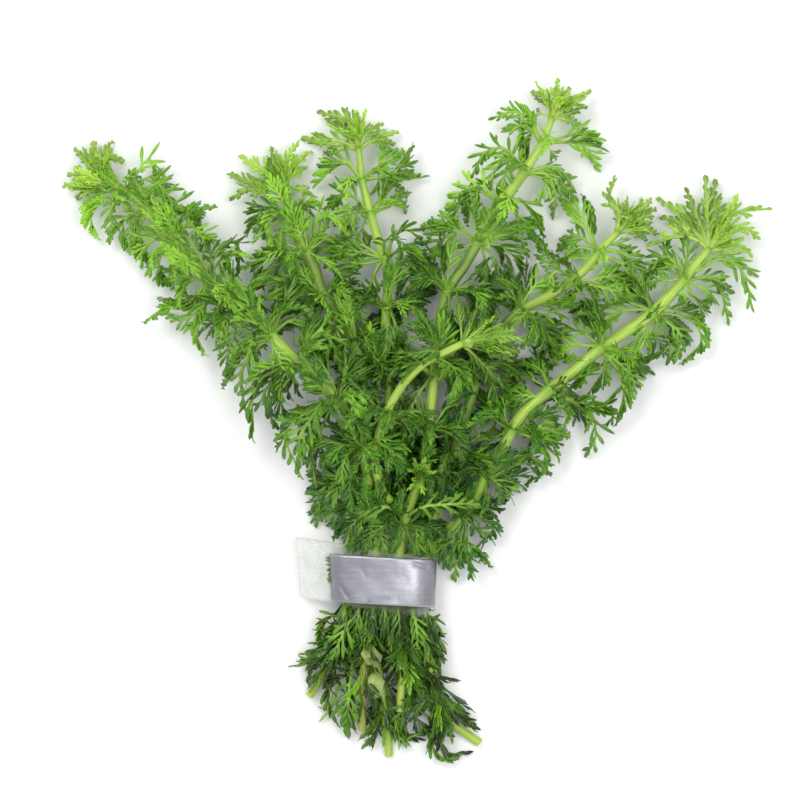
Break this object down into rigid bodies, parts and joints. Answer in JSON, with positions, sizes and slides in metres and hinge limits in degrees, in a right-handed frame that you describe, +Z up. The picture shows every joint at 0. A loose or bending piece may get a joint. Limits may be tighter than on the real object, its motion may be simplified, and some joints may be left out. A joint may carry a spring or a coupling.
{
  "type": "cut bunch of rice paddy herb",
  "caption": "Lying bunch of an aquarium plant: cut green stems fanning out with whorls of finely divided leaves, held by a bent grey metal weight strip over foam.",
  "frame": {"origin": "middle of the bunch in plan, on the surface that it lies on", "axes": "+Y towards the leafy tips, +X to the right seen from above, +Z up from the surface"},
  "size_m": [0.1858, 0.1806, 0.0321],
  "materials": {
    "stem": "moist yellow-green stem skin, faintly ribbed",
    "young_leaf": "thin light green leaf, slightly see-through at the edges",
    "leaf": "thin mid to dark green leaf with a moist gloss",
    "wet_leaf": "dark wet leaf with sharp highlights",
    "strip_metal": "dull soft grey metal with fine scratches and dents",
    "foam": "thin whitish foam, milky and a little see-through"
  },
  "bodies": {
    "root": {"weight_strip": "strip_metal", "foam_strip": "foam", "tip_leaves_1": "young_leaf", "tip_leaves_2": "young_leaf", "tip_leaves_3": "young_leaf", "tip_leaves_4": "young_leaf", "tip_leaves_5": "young_leaf", "tip_leaves_6": "young_leaf", "tip_leaves_7": "young_leaf", "whorl_1_leaves_1": "leaf", "whorl_1_leaves_2": "leaf", "whorl_1_leaves_3": "leaf", "whorl_1_leaves_4": "leaf", "whorl_1_leaves_5": "leaf", "whorl_1_leaves_6": "leaf", "whorl_1_leaves_7": "leaf", "whorl_2_leaves_1": "leaf", "whorl_2_leaves_2": "leaf", "whorl_2_leaves_3": "leaf", "whorl_2_leaves_4": "leaf", "whorl_2_leaves_5": "leaf", "whorl_2_leaves_6": "leaf", "whorl_2_leaves_7": "leaf", "whorl_3_leaves_1": "leaf", "whorl_3_leaves_2": "leaf", "whorl_3_leaves_3": "leaf", "whorl_3_leaves_4": "leaf", "whorl_3_leaves_5": "leaf", "whorl_3_leaves_6": "leaf", "whorl_4_leaves_1": "leaf", "whorl_4_leaves_2": "leaf", "whorl_4_leaves_3": "leaf", "whorl_4_leaves_4": "leaf", "whorl_4_leaves_5": "leaf", "whorl_4_leaves_6": "leaf", "whorl_5_leaves_1": "leaf", "whorl_5_leaves_2": "leaf", "whorl_5_leaves_3": "leaf", "whorl_5_leaves_4": "leaf", "whorl_5_leaves_5": "leaf", "whorl_5_leaves_6": "leaf", "whorl_6_leaves_1": "leaf", "foot_leaves_2": "wet_leaf", "foot_leaves_3": "wet_leaf", "whorl_6_leaves_4": "leaf", "foot_leaves_5": "wet_leaf", "whorl_6_leaves_6": "leaf", "whorl_7_leaves_1": "leaf", "whorl_7_leaves_4": "leaf", "whorl_7_leaves_6": "leaf", "whorl_8_leaves_1": "leaf", "foot_leaves_6": "wet_leaf", "whorl_9_leaves_1": "leaf", "stem_1": "stem", "stem_2": "stem", "stem_3": "stem", "stem_4": "stem", "stem_5": "stem", "stem_6": "stem", "side_stem": "stem"}
  },
  "joints": []
}
